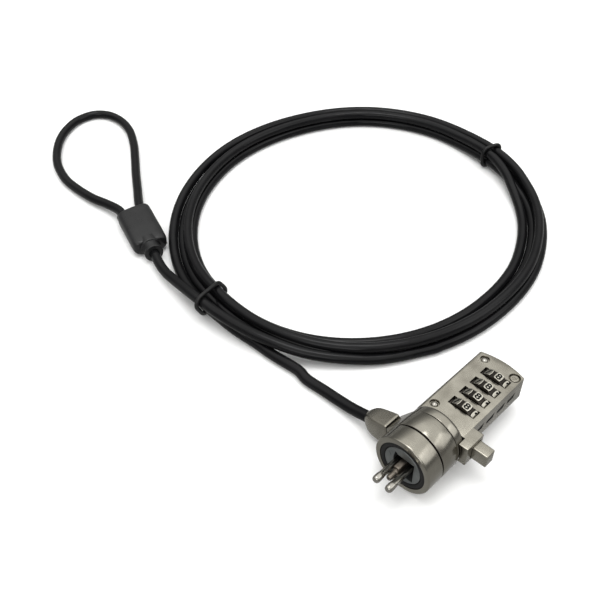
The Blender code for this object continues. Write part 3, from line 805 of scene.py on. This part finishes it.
def make_holder():
    """A tapered block with softly bowed sides. Its top and front faces meet in a curved edge."""
    bm = bmesh.new()
    rings = []
    stations = 25
    for index in range(stations):
        t = index / (stations - 1)
        x = 11.8 + 10.5 * t
        narrow = 1 - 0.36 * max(0, (t - 0.5) / 0.5) ** 3.2
        width = (3.5 - 0.3 * t) * narrow
        thick = (4.45 - 0.75 * t) * narrow
        middle = -0.4 * (1 - t)
        if index == 0:
            width, thick = width - 0.2, thick - 0.2
        corner = 0.5 + 1.5 * t * t
        ring = []
        for quarter, (sy, sz) in enumerate(((1, 1), (-1, 1), (-1, -1), (1, -1))):
            for step in range(7):
                around = math.pi / 2 * quarter + math.pi / 2 * step / 6
                round_off = min(corner, width * 0.95, thick * 0.95)
                y = sy * (width - round_off) + round_off * math.cos(around)
                z = sz * (thick - round_off) + round_off * math.sin(around) - middle
                ring.append(bm.verts.new((x * MM, y * MM, z * MM)))
        rings.append(ring)
    count = len(rings[0])
    for first, second in zip(rings, rings[1:]):
        for step in range(count):
            other = (step + 1) % count
            bm.faces.new((first[step], second[step], second[other], first[other]))
    bm.faces.new(rings[0])
    bm.faces.new(list(reversed(rings[-1])))
    holder = mesh_object("cable_grip", bm, "nickel", 35)
    room = rod("grip_room", 2.9, 13.2, 18.5, "X", steps=32)
    mouth = turned("grip_mouth", [(0, 24, 0), (2.45, 24, 0), (2.45, 22.0, 0), (2.12, 21.6, 0),
                                  (2.12, 17, 0), (0, 17, 0)],
                   None, 48, "X")
    entry = rod("grip_entry", 1.5, 11, 14, "X", steps=32)
    combine(holder, [room, mouth, entry])
    return crisp(holder, 32)


# ------------------------------------------------------------------ dial box


def back_outline(inset=0):
    points = [(BOX_LEFT + inset, BOX_FRONT + inset), (BOX_RIGHT - inset, BOX_FRONT + inset)]
    half = (BOX_RIGHT - BOX_LEFT) / 2
    radius = (half ** 2 + BACK_BULGE ** 2) / (2 * BACK_BULGE)
    middle = (BOX_RIGHT + BOX_LEFT) / 2
    spread = math.asin((half - inset) / radius)
    centre = BOX_BACK + BACK_BULGE - radius
    for step in range(25):
        angle = spread * (1 - step / 12)
        points.append((middle + radius * math.sin(angle), centre + radius * math.cos(angle) - inset))
    return points


def soften_left_edge(body):
    bm = bmesh.new()
    bm.from_mesh(body.data)
    limit = (BOX_LEFT + 0.1) * MM
    lowest = (BOX_TOP - 0.1) * MM
    edges = [edge for edge in bm.edges if all(v.co.x < limit and v.co.z > lowest for v in edge.verts)]
    bmesh.ops.bevel(bm, geom=edges, offset=1.35 * MM, segments=8, profile=0.5, affect="EDGES")
    bm.to_mesh(body.data)
    bm.free()


def make_box():
    body = prism("dial_box", back_outline(), BOX_BOTTOM, BOX_TOP, "nickel")
    soften_left_edge(body)
    bevel(body, 0.45, 4)
    lug = box("lug", (BOX_RIGHT - 2.5, LUG_FRONT, LUG_BOTTOM), (LUG_RIGHT, LUG_BACK, BOX_TOP - 0.008),
              "nickel")
    bevel(lug, 0.3, 4)
    combine(body, [lug], "UNION")
    cutters = [
        rod("neck_seat", NECK_R + 0.2, LUG_FRONT - 1, BOX_FRONT + 0.05, "Y", steps=128),
        box("cover_seat", (-8.3, 19.2, -6), (7.6, 47.6, -2.95)),
        box("slide_room", (-4.2, 17, -3.1), (6.9, 26, 3.25)),
        box("dial_room", (-7.9, 25.6, -3.3), (7.1, 47.8, 3.25)),
        box("button_pocket", (7.7, 17.9, -2.25), (13, 22.5, 3.25)),
        box("stem_way", (6, 18.2, -1.4), (8, 20.3, 1.4)),
    ]
    for index in range(DIAL_COUNT):
        y = FIRST_DIAL + index * DIAL_PITCH
        half = WINDOW / 2
        window = box("window", (DIAL_X - 4.85, y - half, 3), (DIAL_X + 4.85, y + half, 6))
        cutters.append(window)
        cutters.append(move(rod("relief", DIAL_R + 0.3, y - half, y + half, "Y", steps=96),
                            (DIAL_X, 0, DIAL_Z)))
    for x, y in ((-5.7, 49.4), (-6.0, 22.9)):
        seat = turned("seat", [(0, 6, 0), (1.95, 6, 0), (1.62, 4.46, 0), (1.45, 3.6, 0), (1.0, 3.55, 0),
                               (1.0, -6, 0), (0, -6, 0)], None, 64, "Z")
        cutters.append(move(seat, (x, y, 0)))
    screw_seat = turned("screw_seat", [(0, 6, 0), (2.1, 6, 0), (1.95, 4.42, 0), (1.8, 4.1, 0),
                                       (1.75, 3.2, 0), (0.95, 3.3, 0), (0.95, 0, 0), (0, 0, 0)],
                        None, 64, "Z")
    cutters.append(move(screw_seat, (5.9, 49.2, 0)))
    combine(body, cutters)
    body.data.materials.append(LOOKS["shadow"])
    # Shallow pockets in the right wall, one beside each dial, whose faces take the shadow look: painted shade
    # that stands for the dark inside of the slots.
    slots = []
    for index in range(DIAL_COUNT):
        y = FIRST_DIAL + index * DIAL_PITCH
        slot = prism("side_slot", [(-1.25, 2.1), (0.8, 1.35), (0.9, -2.1), (-0.5, -2.1)], -0.24, 1, "nickel")
        slot.data.materials.append(LOOKS["shadow"])
        for face in slot.data.polygons:
            face.material_index = 1
        slot.data.transform(Matrix.Rotation(math.pi / 2, 4, "Y"))
        slots.append(move(slot, (BOX_RIGHT, y, -0.2)))
    combine(body, slots)
    crisp(body, 28)
    finish(move(body, NOSE), "lock", "satin_nickel", "lock_body")

    cover = box("underside_plate", (-8.1, 19.4, BOX_BOTTOM), (7.45, 47.3, -3.25), "nickel")
    bevel(cover, 0.12, 3)
    openings = []
    for index in range(DIAL_COUNT):
        y = FIRST_DIAL + index * DIAL_PITCH
        openings.append(box("opening", (DIAL_X - 5.7, y - WINDOW / 2, -6), (DIAL_X + 5.7, y + WINDOW / 2, 0)))
    openings.append(move(rod("rivet_way", 1.0, -6, 0, "Z", steps=40), (-6.0, 22.9, 0)))
    combine(cover, openings)
    crisp(cover, 28)
    finish(move(cover, NOSE), "lock", "satin_nickel", "base_cover")


def make_fasteners():
    for name, x, y, node in (("rivet_back", -5.7, 49.4, "rear_rivet"),
                             ("rivet_front", -6.0, 22.9, "front_rivet")):
        rivet = turned(name, [(0, 4.5, 0), (0.55, 4.43, 0.25), (1.0, 4.12, 0.25), (1.22, 3.72, 0.12),
                              (0.85, 3.7, 0), (0.85, -3.95, 0.1), (0, -3.95, 0)], "steel", 56, "Z")
        finish(move(rivet, NOSE + Vector((x, y, 0))), "lock", "polished_steel", node)
    screw = turned("change_screw", [(0, 4.25, 0), (1.42, 4.25, 0.16), (1.42, 3.6, 0), (0.8, 3.6, 0),
                                    (0.8, 0.3, 0), (0, 0.3, 0)], "nickel", 64, "Z")
    slots = []
    slanted = Matrix.Rotation(math.radians(38), 4, "Z")
    for offset, half in ((-0.42, 0.75), (0.0, 0.95), (0.42, 0.75)):
        score = box("score", (-half, -0.07, 4.13), (half, 0.07, 5))
        slots.append(move(score, (0, 0, 0), slanted @ Matrix.Translation((0, offset * MM, 0))))
    combine(screw, slots)
    crisp(screw)
    finish(move(screw, NOSE + Vector((5.9, 49.2, 0))), "code_change", "polished_steel", "code_change_screw")


def make_button():
    button = box("release_button", (9.9, 18.1, -2.05), (17.2, 22.3, 3.0), "nickel")
    for vert in button.data.vertices:
        if vert.co.x > 0.012:
            vert.co.y = 0.0202 + (vert.co.y - 0.0202) * 0.97
            vert.co.z = 0.00055 + (vert.co.z - 0.00055) * 0.97
    bevel(button, 0.42, 5)
    stem = prism("stem", [(3.4, 18.4), (5.1, 20.1), (10.9, 20.1), (10.9, 18.4)], -1.2, 1.2)
    combine(button, [stem], "UNION")
    bore = move(rod("spring_bore", 0.8, 8.9, 13.8, "X", steps=32), (0, 21.2, 0.55))
    combine(button, [bore])
    crisp(button, 40)
    finish(move(button, NOSE), "button", "satin_nickel", "push_button")


def digit_mesh(text):
    """One digit as a flat mesh, centred, 1 unit high."""
    curve = bpy.data.curves.new("digit", "FONT")
    curve.body = text
    curve.align_x = "CENTER"
    curve.offset = 0.03
    drawn = link(bpy.data.objects.new("digit", curve))
    graph = bpy.context.evaluated_depsgraph_get()
    mesh = bpy.data.meshes.new_from_object(drawn.evaluated_get(graph))
    bpy.data.objects.remove(drawn, do_unlink=True)
    points = [vert.co for vert in mesh.vertices]
    high = max(p.y for p in points)
    low = min(p.y for p in points)
    left = min(p.x for p in points)
    right = max(p.x for p in points)
    for vert in mesh.vertices:
        vert.co.x = (vert.co.x - (left + right) / 2) / (high - low)
        vert.co.y = (vert.co.y - (high + low) / 2) / (high - low)
    return mesh


def make_dials():
    """Dark wheels with ten bright raised pads, each with an inked number that stands along the spindle."""
    digits = [digit_mesh(str(number)) for number in range(10)]
    bore_radius = 3.05 * MM
    pad_half = math.radians(12.6)
    for index in range(DIAL_COUNT):
        place = NOSE + Vector((DIAL_X, FIRST_DIAL + index * DIAL_PITCH, DIAL_Z))
        half = DIAL_WIDTH / 2
        shares = (-1.18, -1.0, -0.85, -0.4, 0, 0.4, 0.85, 1.0, 1.18)
        sinks = (-0.42, -0.07, -0.01, -0.03, -0.04, -0.03, -0.01, -0.07, -0.42)
        levels = ((-half, -0.14, 0.80), (0.13 - half, 0.0, 0.82), (-0.55 * half, 0.0, 0.95), (0, 0.0, 1.0),
                  (0.55 * half, 0.0, 0.95), (half - 0.13, 0.0, 0.82), (half, -0.14, 0.80))
        bm = bmesh.new()
        rings = []
        for y, shrink, swell in levels:
            ring = []
            for pad in range(10):
                centre = math.radians(36 * pad + 90) - READ_AT
                for share, sink in zip(shares, sinks):
                    around = centre + pad_half * share * swell
                    radius = (DIAL_R + sink + shrink) * MM
                    ring.append(bm.verts.new((radius * math.cos(around), y * MM, radius * math.sin(around))))
            rings.append(ring)
        count = len(rings[0])
        bores = []
        for y in (-half, half):
            turns = [2 * math.pi * step / count for step in range(count)]
            start = math.radians(90) - READ_AT - pad_half
            bores.append([
                bm.verts.new((bore_radius * math.cos(start + turn), y * MM,
                              bore_radius * math.sin(start + turn)))
                for turn in turns
            ])
        for level in range(len(levels) - 1):
            for step in range(count):
                other = (step + 1) % count
                face = bm.faces.new((rings[level][step], rings[level][other], rings[level + 1][other],
                                     rings[level + 1][step]))
                on_pad = 1 <= step % 9 <= 6
                face.material_index = 1 if on_pad and 0 < level < len(levels) - 2 else 0
        for ring, bore in ((rings[0], bores[0]), (rings[-1], bores[1])):
            for step in range(count):
                other = (step + 1) % count
                bm.faces.new((ring[step], bore[step], bore[other], ring[other]))
        for step in range(count):
            other = (step + 1) % count
            bm.faces.new((bores[0][step], bores[1][step], bores[1][other], bores[0][other]))
        wheel = mesh_object("wheel_" + str(index + 1), bm, "dial_dark", 22)
        wheel.data.materials.append(LOOKS["pad_metal"])
        finish(move(wheel, place), "dial_" + str(index + 1), "satin_nickel", "dial_" + str(index + 1))

        inked = bmesh.new()
        for pad in range(10):
            number = (8 + pad) % 10
            centre = math.radians(90 - 36 * pad) - READ_AT
            glyph = digits[number].copy()
            for vert in glyph.vertices:
                across, up = vert.co.x * DIGIT_ACROSS, vert.co.y * DIGIT_UP
                angle = centre - across / DIAL_R
                radius = DIAL_R + 0.012
                vert.co = (radius * MM * math.cos(angle), up * MM, radius * MM * math.sin(angle))
            inked.from_mesh(glyph)
            bpy.data.meshes.remove(glyph)
        ink = mesh_object("numbers_" + str(index + 1), inked, "ink", 60)
        finish(move(ink, place), "dial_" + str(index + 1), "satin_nickel")


# ------------------------------------------------------------------ kept CAD pieces


def dress_kept_nodes():
    looks = {
        "pivot_pin_left": "steel", "pivot_pin_right": "steel", "spindle": "steel", "slide_spring": "steel",
        "button_spring": "steel", "detent_strip": "steel", "swivel_stud": "steel",
        "cable_end_stop": "aluminium",
        "dial_hub_1": "steel", "dial_hub_2": "steel", "dial_hub_3": "steel", "dial_hub_4": "steel",
    }
    for node, look in looks.items():
        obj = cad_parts[node]
        obj.data.materials.clear()
        obj.data.materials.append(LOOKS[look])


# ------------------------------------------------------------------ studio


def area(name, place, aim, size, power):
    data = bpy.data.lights.new(name, "AREA")
    data.shape = "RECTANGLE"
    data.size, data.size_y = size
    data.energy = power
    lamp = link(bpy.data.objects.new(name, data))
    lamp.location = place
    lamp.rotation_euler = (Vector(aim) - Vector(place)).to_track_quat("-Z", "Y").to_euler()
    return lamp


def make_studio():
    scene = bpy.context.scene
    scene.view_settings.view_transform = "Standard"
    scene.view_settings.look = "None"
    scene.view_settings.exposure = 0.0

    bm = bmesh.new()
    bmesh.ops.create_grid(bm, x_segments=1, y_segments=1, size=4)
    floor = mesh_object("floor", bm, None)
    floor.location = (0, 0, -0.00002)
    made = Nodes("paper")
    made.shader.inputs["Roughness"].default_value = 0.9
    made.shader.inputs["Specular IOR Level"].default_value = 0.1
    cloud = made.noise(3, 2)
    made.link(made.blend(made.spread(cloud, 0, 1), (0.93, 0.93, 0.93), (0.91, 0.91, 0.91)),
              made.shader.inputs["Base Color"])
    floor.data.materials.append(made.material)
    floor.visible_glossy = False

    world = bpy.data.worlds.new("studio")
    scene.world = world
    world.use_nodes = True
    tree = world.node_tree
    background = tree.nodes["Background"]
    coords = tree.nodes.new("ShaderNodeTexCoord")
    split = tree.nodes.new("ShaderNodeSeparateXYZ")
    ramp = tree.nodes.new("ShaderNodeValToRGB")
    tones = ((0.0, 0.46), (0.12, 0.20), (0.40, 0.34), (0.60, 0.75), (0.70, 1.4), (0.86, 1.5), (1.0, 1.1))
    stops = ramp.color_ramp.elements
    stops.remove(stops[1])
    for position, tone in tones:
        stop = stops.new(position) if position else stops[0]
        stop.color = (tone, tone, tone * 0.985, 1)
    tree.links.new(coords.outputs["Generated"], split.inputs["Vector"])
    tree.links.new(split.outputs["Z"], ramp.inputs["Fac"])
    tree.links.new(ramp.outputs["Color"], background.inputs["Color"])
    background.inputs["Strength"].default_value = 1.0

    centre = (-0.08, 0.04, 0)
    area("overhead", (-0.1, 0.05, 1.2), centre, (0.7, 0.4), 4.2)
    area("right", (1.0, 0.85, 0.85), centre, (0.7, 0.9), 2.4)
    area("front", (0.55, -1.0, 0.6), centre, (0.9, 0.35), 3.0)
    wash = area("wash", (-0.1, 0.05, 2.0), centre, (2.6, 2.6), 9)
    wash.visible_glossy = False


# ------------------------------------------------------------------ everything

LOOKS = make_materials()
place_camera()
make_cable()
make_barrel()
make_prongs()
make_collar()
make_box()
make_fasteners()
make_button()
make_dials()
dress_kept_nodes()
make_studio()
